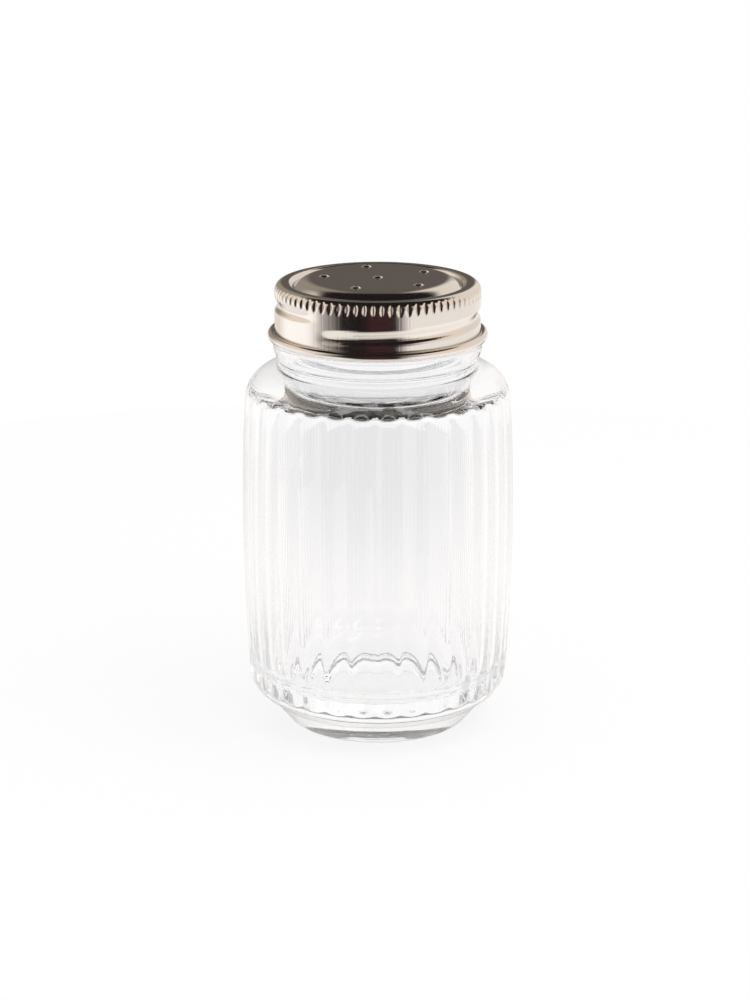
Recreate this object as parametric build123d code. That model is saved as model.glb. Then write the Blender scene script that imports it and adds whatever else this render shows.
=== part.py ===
from build123d import *
import math
import os

# Fluted glass shaker with a perforated screw cap, in millimetres.
# The origin is the centre of the foot, +Z is up and -Y is the front.
# A section is drawn with x as the radius and y as the height, then revolved.

# ---- Glass: barrel, shoulder and heel ----
belly_radius = 30.0
belly_height = 45.5
barrel_curve_radius = 500.0
heel_radius = 6.5
heel_center_height = 12.3
glass_wall = 2.6

# ---- Glass: foot and base ----
heel_end_angle = 53.0
foot_slope = 50.0
foot_corner_radius = 2.0
foot_cove_radius = 4.0
foot_inset = 10.5
bearing_width = 2.0
punt_depth = 3.0
floor_height = 11.0
floor_corner_radius = 6.0

# ---- Glass: flutes ----
flute_count = 32
flute_depth = 0.65
flute_curve_radius = 600.0
flute_land = 0.35
flute_turn = -1.2

# ---- Glass: neck, measured down from the lip ----
lip_height = 97.5
lip_edge_radius = 0.7
neck_radius = 20.75
neck_wall = 2.55
finish_height = 10.5
bead_stand = 2.1
bead_thickness = 0.9
bead_edge_radius = 0.7
bead_curve_radius = 5.0
bead_bottom_angle = 35.0
shoulder_end_angle = 75.0
shoulder_ledge = 2.8
waist_drop = 5.15
waist_fillet = 1.2

# ---- Glass: ceiling inside the shoulder ----
ceiling_corner_radius = 1.5
ceiling_radius = 20.0
ceiling_end_angle = 77.0
ceiling_ledge = 1.35
ceiling_drop = 2.7
bore_fillet = 1.2

# ---- Thread ----
thread_pitch = 4.23
thread_drop_at_front = 5.8
neck_thread_radius = 1.1
neck_thread_stand = 1.1
neck_thread_start = -216.0
neck_thread_turn = 396.0
cap_thread_radius = 0.9
cap_thread_depth = 0.75
cap_thread_start = -38.0
cap_thread_turn = 365.0
thread_fade = 30.0
thread_step = 12.0
thread_bury = 0.05

# ---- Cap ----
sheet = 0.35
rim_radius = 1.25
rim_rise = 1.25
rim_inner_angle = 130.0
valley_inset = 1.1
valley_fillet = 0.6
bevel_run = 2.5
panel_rise = 2.1
panel_fillet = 1.6
curl_radius = 0.95
curl_end_angle = 120.0
knurl_count = 74
knurl_radius = 0.3
knurl_depth = 0.22
knurl_height = 2.85

# ---- Pouring holes ----
hole_count = 5
hole_circle_radius = 11.7
hole_first_angle = 30.3
hole_radius = 0.55
burr_radius = 1.45
burr_height = 0.3

# ---- Seal ----
seal_thickness = 0.7
seal_inset = 0.1

# ---- Clearances ----
thread_crest_clearance = 0.3
thread_flank_clearance = 0.2
bead_clearance = 0.45
seal_clearance = 0.05
seal_side_clearance = 0.5

# ---- Values worked out from the sizes above ----
front_angle = -90.0
barrel_center = Vector(belly_radius - barrel_curve_radius, belly_height)
foot_reach = belly_radius - foot_inset
bearing_inner_radius = foot_reach - bearing_width
bore_radius = neck_radius - neck_wall
bead_radius = neck_radius + bead_stand
bead_top_height = lip_height - finish_height
bead_height = bead_top_height - bead_thickness
shoulder_end = Vector(neck_radius + shoulder_ledge, bead_height - waist_drop)
skirt_inner_radius = neck_radius + neck_thread_stand + thread_crest_clearance
skirt_radius = skirt_inner_radius + sheet
curl_center_height = bead_top_height + bead_clearance + curl_radius
seal_top_height = lip_height + seal_thickness
valley_radius = bore_radius + valley_inset
valley_height = seal_top_height + seal_clearance + sheet
panel_radius = valley_radius - bevel_run
panel_height = valley_height + panel_rise
rim_height = valley_height + rim_rise - rim_radius
knurl_bottom_height = valley_height + rim_rise - knurl_height
thread_height_at_front = lip_height - thread_drop_at_front
cap_thread_center = skirt_radius - cap_thread_depth + cap_thread_radius
neck_thread_center = neck_radius + neck_thread_stand - neck_thread_radius
flank_distance = cap_thread_radius + sheet + neck_thread_radius + thread_flank_clearance
neck_thread_lift = math.sqrt(flank_distance**2 - (cap_thread_center - neck_thread_center) ** 2)


def on_circle(center, radius, angle):
    """Point of a circle in the section, at an angle in degrees above the outward direction."""
    turn = math.radians(angle)
    return Vector(center.X + radius * math.cos(turn), center.Y + radius * math.sin(turn))


def meeting_point(first, first_angle, second, second_angle):
    """Where a line through one point meets a line through another, each at an angle in degrees."""
    a = Vector(math.cos(math.radians(first_angle)), math.sin(math.radians(first_angle)))
    b = Vector(math.cos(math.radians(second_angle)), math.sin(math.radians(second_angle)))
    gap = second - first
    along = (gap.X * b.Y - gap.Y * b.X) / (a.X * b.Y - a.Y * b.X)
    return first + a * along


def barrel_angle(height, corner_radius):
    """Angle on the barrel's arc where a corner arc, centred at a height, touches it."""
    rise = height - belly_height
    return math.degrees(math.asin(rise / (barrel_curve_radius - corner_radius)))


def shoulder_arc():
    """Centre, radius and first angle of the arc from the barrel to the shoulder's end."""
    gap = shoulder_end - barrel_center
    outward = on_circle(Vector(0, 0), 1, shoulder_end_angle)
    radius = (gap.dot(gap) - barrel_curve_radius**2) / (2 * (gap.dot(outward) - barrel_curve_radius))
    center = shoulder_end - outward * radius
    return center, radius, barrel_angle(center.Y, radius)


def revolved(edges):
    """Turn a closed section about the jar's axis."""
    return revolve(Plane.XZ * make_face(Wire(edges)), Axis.Z)


# ---- Glass ----
def glass_outside():
    """Outer line of the glass from the bearing ring on the foot up to the neck's lip."""
    shoulder_center, shoulder_radius, shoulder_start = shoulder_arc()
    heel_start = barrel_angle(heel_center_height, heel_radius)
    heel_center = on_circle(barrel_center, barrel_curve_radius - heel_radius, heel_start)
    heel_end = on_circle(heel_center, heel_radius, -heel_end_angle)
    foot_corner = Vector(foot_reach, 0)
    cove_corner = meeting_point(foot_corner, foot_slope, heel_end, 90 - heel_end_angle)
    foot = FilletPolyline(
        [Vector(bearing_inner_radius, 0), foot_corner, cove_corner, heel_end],
        radius=[foot_corner_radius, foot_cove_radius],
    )
    heel = CenterArc(heel_center, heel_radius, -heel_end_angle, heel_end_angle + heel_start)
    barrel = CenterArc(barrel_center, barrel_curve_radius, heel_start, shoulder_start - heel_start)
    shoulder = CenterArc(
        shoulder_center, shoulder_radius, shoulder_start, shoulder_end_angle - shoulder_start
    )
    bead_center = Vector(bead_radius - bead_curve_radius, bead_height)
    bead_start = on_circle(bead_center, bead_curve_radius, -bead_bottom_angle)
    waist_corner = meeting_point(
        shoulder_end, 90 + shoulder_end_angle, bead_start, 90 - bead_bottom_angle
    )
    waist = FilletPolyline([shoulder_end, waist_corner, bead_start], radius=waist_fillet)
    bead = CenterArc(bead_center, bead_curve_radius, -bead_bottom_angle, bead_bottom_angle)
    neck = FilletPolyline(
        [
            Vector(bead_radius, bead_height),
            Vector(bead_radius, bead_top_height),
            Vector(neck_radius, bead_top_height + bead_edge_radius / 2),
            Vector(neck_radius, lip_height),
            Vector(bore_radius, lip_height),
            Vector(bore_radius, lip_height - 2 * lip_edge_radius),
        ],
        radius=[bead_edge_radius, bead_edge_radius, lip_edge_radius, lip_edge_radius],
    )
    return [*foot.edges(), heel, barrel, shoulder, *waist.edges(), bead, *neck.edges()]


def angle_of(vector):
    """Angle in degrees of a direction in the section, above the outward direction."""
    return math.degrees(math.atan2(vector.Y, vector.X))


def upper_crossing(first, first_radius, second, second_radius):
    """The upper crossing of two circles in the section, the first centred further in."""
    gap = second - first
    along = (first_radius**2 - second_radius**2 + gap.dot(gap)) / (2 * gap.length)
    across = math.sqrt(first_radius**2 - along**2)
    return first + (gap * along + Vector(-gap.Y, gap.X) * across) / gap.length


def glass_inside():
    """Smooth inner line of the glass from the bore down to the middle of the floor."""
    inner_curve = barrel_curve_radius - glass_wall
    ceiling_end = Vector(bore_radius + ceiling_ledge, shoulder_end.Y - ceiling_drop)
    bore_top = Vector(bore_radius, lip_height - 2 * lip_edge_radius)
    bore_corner = meeting_point(ceiling_end, 90 + ceiling_end_angle, bore_top, 90)
    bore = FilletPolyline([bore_top, bore_corner, ceiling_end], radius=bore_fillet)
    ceiling_center = on_circle(ceiling_end, -ceiling_radius, ceiling_end_angle)
    corner_center = upper_crossing(
        barrel_center,
        inner_curve - ceiling_corner_radius,
        ceiling_center,
        ceiling_radius - ceiling_corner_radius,
    )
    low = angle_of(corner_center - barrel_center)
    high = angle_of(corner_center - ceiling_center)
    ceiling = CenterArc(ceiling_center, ceiling_radius, high, ceiling_end_angle - high)
    ceiling_corner = CenterArc(corner_center, ceiling_corner_radius, low, high - low)
    floor_inset = glass_wall + floor_corner_radius
    floor_turn = barrel_angle(floor_height + floor_corner_radius, floor_inset)
    floor_center = on_circle(barrel_center, barrel_curve_radius - floor_inset, floor_turn)
    barrel = CenterArc(barrel_center, inner_curve, floor_turn, low - floor_turn)
    floor_corner = CenterArc(floor_center, floor_corner_radius, -90, 90 + floor_turn)
    floor = Line(Vector(floor_center.X, floor_height), Vector(0, floor_height))
    return [*bore.edges(), ceiling, ceiling_corner, barrel, floor_corner, floor]


def glass_base():
    """Shallow hollow under the base, from the axis out to the bearing ring, and the axis itself."""
    axis = Line(Vector(0, floor_height), Vector(0, punt_depth))
    punt_radius = (bearing_inner_radius**2 + punt_depth**2) / (2 * punt_depth)
    punt = RadiusArc(Vector(0, punt_depth), Vector(bearing_inner_radius, 0), punt_radius)
    return [axis, punt]


def flute_cutters():
    """Round scoops on a flatter curve than the barrel's, so that a flute is deepest at the belly."""
    half_land = math.degrees(flute_land / 2 / belly_radius)
    edge_angle = math.radians(180 / flute_count - half_land)
    half_width = belly_radius * math.sin(edge_angle)
    depth_to_edge = belly_radius * math.cos(edge_angle) - (belly_radius - flute_depth)
    scoop_radius = (half_width**2 + depth_to_edge**2) / (2 * depth_to_edge)
    low = math.degrees(math.asin(belly_height / flute_curve_radius))
    high = math.degrees(math.asin((lip_height - belly_height) / flute_curve_radius))
    hub = Axis((belly_radius - flute_curve_radius, 0, belly_height), (0, -1, 0))
    disc = Pos(belly_radius - flute_depth + scoop_radius, 0, belly_height) * Circle(scoop_radius)
    scoop = revolve(disc.rotate(hub, -low), hub, low + high)
    turns = [front_angle + flute_turn + 360 * (i + 0.5) / flute_count for i in range(flute_count)]
    return [Rot(0, 0, turn) * scoop for turn in turns]


# ---- Thread ----
def smooth_step(share):
    """0 below 0, 1 above 1 and a smooth rise between."""
    share = min(max(share, 0.0), 1.0)
    return share * share * (3 - 2 * share)


def thread_tube(tube_radius, radius, faded_radius, height, start, turn):
    """Round tube along a right-hand thread line whose two ends move to another radius."""
    count = math.ceil(turn / thread_step)
    points = []
    for i in range(count + 1):
        along = turn * i / count
        nearest_end = min(along, turn - along)
        swing = faded_radius + (radius - faded_radius) * smooth_step(nearest_end / thread_fade)
        angle = math.radians(front_angle + start + along)
        rise = height + thread_pitch * (start + along) / 360
        points.append(Vector(swing * math.cos(angle), swing * math.sin(angle), rise))
    path = Spline(points)
    section = Plane(origin=path @ 0, z_dir=path % 0) * Circle(tube_radius)
    return sweep(section, path=path)


# ---- Jar ----
def make_glass_jar():
    """Fluted jar with its thread ridge."""
    blank = revolved([*glass_outside(), *glass_inside(), *glass_base()])
    fluted = blank - flute_cutters()
    thread = thread_tube(
        neck_thread_radius,
        neck_thread_center,
        neck_radius - neck_thread_radius - thread_bury,
        thread_height_at_front + neck_thread_lift,
        neck_thread_start,
        neck_thread_turn,
    )
    return fluted + thread


# ---- Cap ----
def cap_top(offset):
    """Line of the cap's top from the axis to the rim, moved in from the outer face by an offset."""
    rim_center = Vector(skirt_radius - rim_radius, rim_height)
    rim_end = on_circle(rim_center, rim_radius - offset, rim_inner_angle)
    bevel_angle = math.degrees(math.atan2(panel_rise, -bevel_run))
    drop = Vector(0, offset / math.cos(math.radians(bevel_angle)))
    valley = Vector(valley_radius, valley_height) + drop
    middle = Vector(0, panel_height - offset)
    valley_corner = meeting_point(rim_end, rim_inner_angle + 90, valley, bevel_angle)
    panel_corner = meeting_point(valley, bevel_angle, middle, 0)
    top = FilletPolyline(
        [middle, panel_corner, valley_corner, rim_end],
        radius=[panel_fillet - offset, valley_fillet + offset],
    )
    rim = CenterArc(rim_center, rim_radius - offset, 0, rim_inner_angle)
    return [*top.edges(), rim]


def skirt_line(radius):
    """Straight line down the skirt at a radius, from the rim to the curl."""
    return Line(Vector(radius, rim_height), Vector(radius, curl_center_height))


def cap_shell():
    """Plain sheet of the cap with its outward curl, before the thread, knurl and holes."""
    curl_center = Vector(skirt_inner_radius + curl_radius, curl_center_height)
    curl_turn = 360 - 180 + curl_end_angle
    inside_curl = CenterArc(curl_center, curl_radius - sheet, 180, curl_turn)
    outside_curl = CenterArc(curl_center, curl_radius, 180, curl_turn)
    curl = [inside_curl, Line(inside_curl @ 1, outside_curl @ 1), outside_curl]
    skirt = [skirt_line(skirt_radius), *curl, skirt_line(skirt_inner_radius)]
    axis = Line(Vector(0, panel_height - sheet), Vector(0, panel_height))
    return revolved([*cap_top(0), *skirt, *cap_top(sheet), axis])


def cap_envelope():
    """Everything inside the cap's outer face, which bounds what is formed inwards."""
    bottom = Line(Vector(skirt_radius, curl_center_height), Vector(0, curl_center_height))
    axis = Line(Vector(0, curl_center_height), Vector(0, panel_height))
    return revolved([*cap_top(0), skirt_line(skirt_radius), bottom, axis])


def cap_thread_tube(tube_radius):
    """Tube along the cap's thread line that leaves the skirt at both ends."""
    return thread_tube(
        tube_radius,
        cap_thread_center,
        skirt_radius + cap_thread_radius + thread_bury,
        thread_height_at_front,
        cap_thread_start,
        cap_thread_turn,
    )


def knurl_rods():
    """Rods that lean into the rim, one for each notch of the knurl."""
    lean = math.atan(knurl_depth / (rim_height - knurl_bottom_height))
    rod_length = knurl_height / math.cos(lean) + 2 * sheet
    rod = Cylinder(knurl_radius, rod_length, align=(Align.CENTER, Align.CENTER, Align.MIN))
    leaning = Rot(0, -math.degrees(lean), 0) * Pos(knurl_radius, 0, -sheet) * rod
    placed = Pos(skirt_radius, 0, knurl_bottom_height) * leaning
    turns = [front_angle + 360 * (i + 0.5) / knurl_count for i in range(knurl_count)]
    return [Rot(0, 0, turn) * placed for turn in turns]


def hole_places():
    """The middle of the panel and the places of the ring of holes around it."""
    ring_of_holes = PolarLocations(hole_circle_radius, hole_count, hole_first_angle)
    return [Location(), *ring_of_holes]


def burr():
    """Sheet pushed up into a low cone around a hole at the origin."""
    top = panel_height + burr_height
    cone = make_face(
        Polyline(
            (hole_radius, top),
            (burr_radius, panel_height),
            (burr_radius, panel_height - sheet),
            (hole_radius, top - sheet),
            close=True,
        )
    )
    return revolve(Plane.XZ * cone, Axis.Z)


def make_screw_cap():
    """Formed cap: top, skirt, curl, rolled thread, knurl and burred holes."""
    thread_backing = cap_thread_tube(cap_thread_radius + sheet) & cap_envelope()
    cap = cap_shell() + thread_backing
    cap = cap - [cap_thread_tube(cap_thread_radius), *knurl_rods()]
    punch = Pos(0, 0, panel_height - sheet / 2) * Cylinder(burr_radius, 2 * sheet)
    cap = cap - [place * punch for place in hole_places()]
    return cap + [place * burr() for place in hole_places()]


# ---- Seal ----
def make_sealing_ring():
    """Soft ring that lies on the glass lip under the cap's valley."""
    inner_radius = bore_radius + seal_inset
    outer_radius = skirt_inner_radius - seal_side_clearance
    section = Rectangle(outer_radius - inner_radius, seal_thickness, align=(Align.MIN, Align.MIN))
    return revolve(Plane.XZ * Pos(inner_radius, lip_height) * section, Axis.Z)


def main():
    """Write one STEP file for each piece."""
    os.makedirs("parts", exist_ok=True)
    pieces = {
        "glass_jar": make_glass_jar(),
        "screw_cap": make_screw_cap(),
        "sealing_ring": make_sealing_ring(),
    }
    for name, piece in pieces.items():
        export_step(piece, "parts/" + name + ".step")


if __name__ == "__main__":
    main()
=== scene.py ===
import math

import bpy
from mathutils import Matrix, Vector


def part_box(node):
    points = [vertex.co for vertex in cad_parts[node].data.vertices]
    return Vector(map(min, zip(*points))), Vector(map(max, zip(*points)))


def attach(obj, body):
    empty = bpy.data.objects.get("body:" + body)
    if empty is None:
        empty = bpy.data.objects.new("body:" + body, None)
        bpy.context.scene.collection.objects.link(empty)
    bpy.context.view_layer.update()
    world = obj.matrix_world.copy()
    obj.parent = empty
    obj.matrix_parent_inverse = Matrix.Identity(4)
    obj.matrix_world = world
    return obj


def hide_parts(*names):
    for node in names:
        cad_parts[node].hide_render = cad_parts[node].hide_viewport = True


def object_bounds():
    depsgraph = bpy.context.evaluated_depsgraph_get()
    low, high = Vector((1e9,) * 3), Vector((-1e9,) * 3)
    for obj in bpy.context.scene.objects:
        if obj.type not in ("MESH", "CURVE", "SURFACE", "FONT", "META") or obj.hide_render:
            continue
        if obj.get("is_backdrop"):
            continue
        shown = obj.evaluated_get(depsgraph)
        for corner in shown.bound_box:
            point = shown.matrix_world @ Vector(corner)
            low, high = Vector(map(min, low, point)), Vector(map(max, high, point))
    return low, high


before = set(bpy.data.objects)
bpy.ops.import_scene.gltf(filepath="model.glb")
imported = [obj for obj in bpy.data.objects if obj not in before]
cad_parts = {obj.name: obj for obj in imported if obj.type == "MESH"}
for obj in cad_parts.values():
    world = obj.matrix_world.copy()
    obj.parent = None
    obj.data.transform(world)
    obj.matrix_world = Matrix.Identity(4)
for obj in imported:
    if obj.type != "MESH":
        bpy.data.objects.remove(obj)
CAD_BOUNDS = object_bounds()
_, JAR_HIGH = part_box("glass_jar")
CAP_LOW, CAP_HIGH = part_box("screw_cap")

bl_info = {
    "name": "Fluted shaker",
    "version": (1, 0, 0),
    "blender": (4, 5, 0),
    "location": "View3D > Sidebar > Shaker",
    "description": "Fluted glass jar with a pierced metal screw cap, in a plain studio",
    "category": "Add Mesh",
}

MM = 0.001
QUARTER = math.pi / 2
HALF = math.pi
WHOLE = 2 * math.pi
FRONT = math.radians(-90)

# How finely curves are drawn, with spacings in millimetres, and how near two points are one.
CORNER_STEP = math.radians(9)
HIDDEN_STEP = math.radians(17)
BURR_STEP = math.radians(15)
FLUTED_SPACING = 0.38
THREADED_SPACING = 0.27
GROOVED_SPACING = 0.29
DOUBLE_GAP = 0.002 * MM
SEAM_GAP = 0.0015 * MM
COLLAR_COLUMNS = 32
FLOOR_SIDES = 96
LIGHT_BOUNCES = 40

# Softness of shapes, and how far columns of faces crowd round a flute or a notch.
FLUTE_CROWDING = 0.62
KNURL_CROWDING = 0.4
KNURL_MELT = 0.06 * MM
SHARP_EDGE = math.radians(50)

# Colours of the studio that metal and glass show, with BRIGHT and DARK also painted on the floor as
# its painted reflection and painted shade, and of worn plating and rubber.
BRIGHT = (1.0, 0.95, 0.90)
SAND = (0.95, 0.82, 0.70)
PALE = (0.88, 0.80, 0.73)
BROWN = (0.33, 0.29, 0.24)
GREY = (0.42, 0.39, 0.36)
DARK = (0.008, 0.006, 0.006)
TAUPE = (0.125, 0.107, 0.094)
WHITE = (1.25, 1.22, 1.18)
SLATE = (0.30, 0.32, 0.36)
WINE = (0.045, 0.014, 0.016)
PURE_WHITE = (1.0, 1.0, 1.0)
SOFT_WHITE = (0.85, 0.85, 0.85)
WORN_NICKEL = (0.70, 0.66, 0.62)
WORN_SEAL = (0.50, 0.49, 0.44)

# Stops of azimuth, 0 and 1 at the back, 0.5 at the front, 0.75 at the right.
LOW_STUDIO = [
    (0.0, GREY), (0.04, PALE), (0.10, PALE), (0.16, WHITE), (0.26, WHITE),
    (0.29, BRIGHT), (0.33, GREY), (0.39, DARK), (0.45, DARK), (0.48, WINE),
    (0.53, WINE), (0.555, DARK), (0.60, BRIGHT), (0.97, BRIGHT), (1.0, GREY),
]
HIGH_STUDIO = [
    (0.01, TAUPE), (0.033, BROWN), (0.085, BROWN), (0.15, SAND), (0.31, SAND),
    (0.40, DARK), (0.48, WINE), (0.52, WINE), (0.56, DARK), (0.66, SAND),
    (0.80, SAND), (0.88, PALE), (0.965, PALE), (0.985, TAUPE),
]


# ---- Sizes and colours a user would change ----
def length(name, description, default):
    """A named length, given in millimetres and kept in metres."""
    return bpy.props.FloatProperty(
        name=name, description=description, default=default * MM, unit="LENGTH", precision=5
    )


def turn(name, description, default):
    """A named angle, given in degrees and kept in radians."""
    return bpy.props.FloatProperty(
        name=name, description=description, default=math.radians(default), unit="ROTATION"
    )


def number(name, description, default):
    """A named plain number."""
    return bpy.props.FloatProperty(name=name, description=description, default=default)


def count(name, description, default):
    """A named whole number."""
    return bpy.props.IntProperty(name=name, description=description, default=default, min=1)


def colour(name, description, default):
    """A named colour."""
    return bpy.props.FloatVectorProperty(
        name=name, description=description, default=default, size=3, subtype="COLOR"
    )


class JarSizes(bpy.types.PropertyGroup):
    """Sizes of the pressed glass jar."""

    belly_radius: length("Belly radius", "Radius over the ridges at the widest height", 30.0)
    belly_height: length("Belly height", "Height of the widest place", 45.5)
    barrel_curve: length("Barrel curve", "Radius of the long curve of the side", 500)
    heel_radius: length("Heel radius", "Radius of the curve under the side", 6.5)
    heel_height: length("Heel height", "Height of the heel curve's centre", 12.3)
    heel_end: turn("Heel end", "How far round the heel curve goes", 53)
    foot_slope: turn("Foot slope", "Slope of the side of the foot", 50)
    foot_corner: length("Foot corner", "Rounding at the bearing ring", 2)
    foot_cove: length("Foot cove", "Rounding above the foot", 4)
    foot_inset: length("Foot inset", "How far the foot stands in from the belly", 10.5)
    bearing_width: length("Bearing width", "Width of the ring that the jar stands on", 2)
    punt: length("Punt", "Depth of the hollow under the foot", 3)
    floor_height: length("Floor height", "Height of the inside floor", 11)
    floor_corner: length("Floor corner", "Rounding of the inside floor", 6)
    wall: length("Wall", "Thickness of the glass", 2.6)
    shoulder_end: turn("Shoulder end", "How far round the shoulder curve goes", 75)
    shoulder_ledge: length("Shoulder ledge", "Shoulder's end out from the neck", 2.8)
    waist_drop: length("Waist drop", "Shoulder's end below the bead", 5.15)
    waist_fillet: length("Waist fillet", "Rounding between shoulder and bead", 1.2)
    neck_radius: length("Neck radius", "Radius of the neck without its thread", 20.75)
    neck_wall: length("Neck wall", "Thickness of the neck", 2.55)
    finish_height: length("Finish height", "Height of the neck above the bead", 10.5)
    lip_edge: length("Lip edge", "Rounding of the lip", 0.7)
    bead_stand: length("Bead stand", "How far the bead stands out", 2.1)
    bead_thickness: length("Bead thickness", "Height of the bead's band", 0.9)
    bead_edge: length("Bead edge", "Rounding of the bead's top", 0.7)
    bead_curve: length("Bead curve", "Radius of the bead's underside", 5)
    bead_bottom: turn("Bead bottom", "How far round the bead's underside goes", 35)
    bore_fillet: length("Bore fillet", "Rounding below the bore", 1.2)
    ceiling_corner: length("Ceiling corner", "Rounding between side and ceiling inside", 1.5)
    ceiling_curve: length("Ceiling curve", "Radius of the ceiling's curve inside", 20)
    ceiling_end: turn("Ceiling end", "How far round the ceiling's curve goes", 77)
    ceiling_ledge: length("Ceiling ledge", "Ceiling's end out from the bore", 1.35)
    ceiling_drop: length("Ceiling drop", "Ceiling's end below the shoulder's end", 2.7)
    flutes: count("Flutes", "Number of flutes", 32)
    flute_depth: length("Flute depth", "Depth of a flute", 0.65)
    flute_curve: length("Flute curve", "Radius of the long curve of a flute", 600)
    flute_land: length("Flute land", "Width of the ridge between flutes", 0.35)
    flute_turn: turn("Flute turn", "Turn of the front ridge", -1.2)
    edge_melt: length("Edge melt", "How soft the flutes' edges are", 0.3)
    flute_columns: count("Flute columns", "Columns of faces across a flute", 12)


class ThreadSizes(bpy.types.PropertyGroup):
    """Sizes of the thread on the neck and of the one rolled into the cap."""

    pitch: length("Pitch", "Rise in one turn", 4.23)
    drop: length("Drop", "Cap's thread below the lip at the front", 5.8)
    lift: length("Lift", "Neck's thread above the cap's thread", 1.70)
    neck_stand: length("Neck stand", "How far the neck's thread stands out", 1.1)
    neck_width: length("Neck width", "Half width of the neck's thread", 1.15)
    neck_start: turn("Neck start", "Start of the neck's thread", -216)
    neck_turn: turn("Neck turn", "Length of the neck's thread", 396)
    cap_depth: length("Cap depth", "Depth of the groove in the skirt", 0.75)
    cap_below: length("Cap below", "Reach of the groove below its line", 1.2)
    cap_above: length("Cap above", "Reach of the groove above its line", 2.3)
    cap_start: turn("Cap start", "Start of the groove", -38)
    cap_turn: turn("Cap turn", "Length of the groove", 365)
    fade: turn("Fade", "Turn over which an end fades", 26)


class CapSizes(bpy.types.PropertyGroup):
    """Sizes of the formed metal cap."""

    sheet: length("Sheet", "Thickness of the sheet", 0.35)
    curl_radius: length("Curl radius", "Radius of the rolled bottom edge", 0.95)
    curl_end: turn("Curl end", "Where the rolled edge stops", 120)
    rim_radius: length("Rim radius", "Rounding of the top edge", 1.8)
    rim_rise: length("Rim rise", "Top edge above the valley", 1.25)
    rim_wall: length("Rim wall", "Width of the slope from the crest to the valley", 0.6)
    crest_fillet: length("Crest fillet", "Rounding of the crest's inner side", 0.8)
    valley_inset: length("Valley inset", "Valley outside the bore", 0.35)
    valley_fillet: length("Valley fillet", "Rounding of the valley", 0.5)
    bevel_run: length("Bevel run", "Width of the panel's bevel", 2.45)
    panel_rise: length("Panel rise", "Panel above the valley", 2.1)
    panel_fillet: length("Panel fillet", "Rounding of the panel's edge", 5)
    knurls: count("Knurls", "Number of notches round the rim", 74)
    knurl_depth: length("Knurl depth", "Depth of a notch near its foot", 0.27)
    knurl_lean: turn("Knurl lean", "How far a notch leans into the rim", 8)
    knurl_foot: length("Knurl foot", "Height over which a notch's foot fades", 0.3)
    knurl_radius: length("Knurl radius", "Rounding across a notch", 0.21)
    knurl_height: length("Knurl height", "Height of the notches", 2.85)
    knurl_columns: count("Knurl columns", "Columns of faces for a notch", 8)
    holes: count("Holes", "Holes in the ring round the middle one", 5)
    hole_circle: length("Hole circle", "Radius of the ring of holes", 11.7)
    hole_turn: turn("Hole turn", "Turn of the ring of holes", 30.3)
    hole_radius: length("Hole radius", "Radius of a hole", 0.55)
    burr_radius: length("Burr radius", "Radius of the raised metal round a hole", 1.15)
    burr_height: length("Burr height", "Height of the raised metal round a hole", 0.3)
    burr_lip: length("Burr lip", "Rounding of the raised metal's lip", 0.12)
    burr_fillet: length("Burr fillet", "Rounding between panel and raised metal", 0.9)
    collar_radius: length("Collar radius", "Where the flat panel starts round a hole", 2)
    panel_join: length("Panel join", "Radius of the flat panel's edge", 14.1)


class Finishes(bpy.types.PropertyGroup):
    """Colours and gloss of the finishes."""

    glass: colour("Glass", "Tint of the glass", (0.985, 0.983, 0.986))
    glass_index: number("Glass index", "Index of refraction of the glass", 1.51)
    nickel: colour("Nickel", "Colour of the plating", (0.80, 0.775, 0.745))
    nickel_roughness: number("Nickel roughness", "Roughness of the plating", 0.09)
    lacquer: colour("Lacquer", "Colour of the lacquer inside the cap", (0.26, 0.24, 0.17))
    seal: colour("Seal", "Colour of the sealing ring", (0.62, 0.61, 0.56))
    floor: colour("Floor", "Colour of the floor", (0.93, 0.93, 0.93))


class Studio(bpy.types.PropertyGroup):
    """Camera, floor and lights."""

    distance: length("Distance", "Camera's distance in front of the axis", 590)
    height: length("Height", "Camera's height", 226.5)
    aim_height: length("Aim height", "Height on the axis that the camera aims at", 50)
    lens: number("Lens", "Focal length in millimetres", 99.756)
    shift_x: number("Shift X", "Sideways shift of the frame", -0.00275)
    shift_y: number("Shift Y", "Upward shift of the frame", 0.00126)
    floor_radius: length("Floor radius", "Radius of the floor", 280)
    floor_gap: length("Floor gap", "Gap that keeps the floor off the foot's face", 0.05)


SIZE_GROUPS = {
    "shaker_jar": JarSizes,
    "shaker_thread": ThreadSizes,
    "shaker_cap": CapSizes,
    "shaker_finish": Finishes,
    "shaker_studio": Studio,
}


# ---- Node trees written as expressions ----
class Term:
    """A socket in an expression. Python's operators on it add Math nodes."""

    def __init__(self, nodes, node, socket):
        self.nodes = nodes
        self.node = node
        self.socket = socket

    def out(self, name):
        """Another output of the same node."""
        return Term(self.nodes, self.node, self.node.outputs[name])

    def __mod__(self, other):
        return self.nodes.math("FLOORED_MODULO", self, other)


def overload(name, operation):
    """Give Term an operator and its reflected form."""

    def plain(self, other):
        return self.nodes.math(operation, self, other)

    def reflected(self, other):
        return self.nodes.math(operation, other, self)

    setattr(Term, f"__{name}__", plain)
    setattr(Term, f"__r{name}__", reflected)


overload("add", "ADD")
overload("sub", "SUBTRACT")
overload("mul", "MULTIPLY")
overload("truediv", "DIVIDE")


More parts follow.
